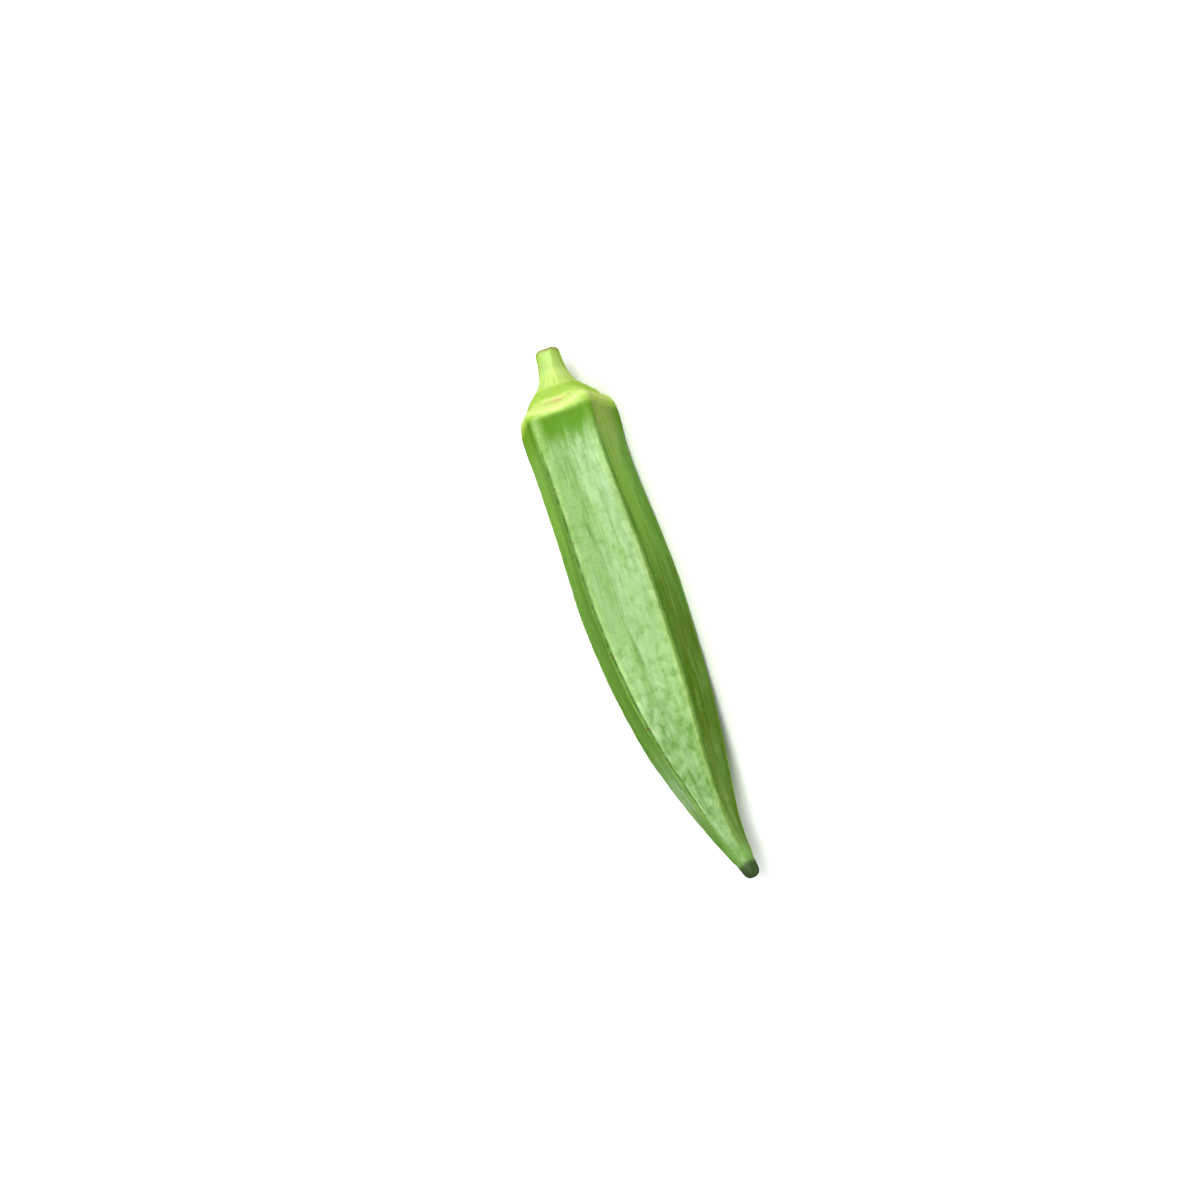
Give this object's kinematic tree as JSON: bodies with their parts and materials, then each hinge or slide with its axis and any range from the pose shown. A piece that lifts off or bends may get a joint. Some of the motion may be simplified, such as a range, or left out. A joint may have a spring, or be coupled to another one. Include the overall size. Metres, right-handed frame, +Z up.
{
  "type": "okra pod",
  "caption": "Fresh green okra pod lying on one face: ridged tapering body with a hooked blunt tip, pale raised rim, concave cap and short cut stalk.",
  "frame": {"origin": "middle of the pod's box in plan, on the surface it lies on", "axes": "+X along the pod towards the cut stalk, -X towards the tip, +Z up; the top ridge faces +Z and the pod lies on the face opposite to it"},
  "size_m": [0.1132, 0.0214, 0.0198],
  "materials": {
    "okra_skin": "satin"
  },
  "bodies": {
    "root": {"okra_pod": "okra_skin"}
  },
  "joints": []
}
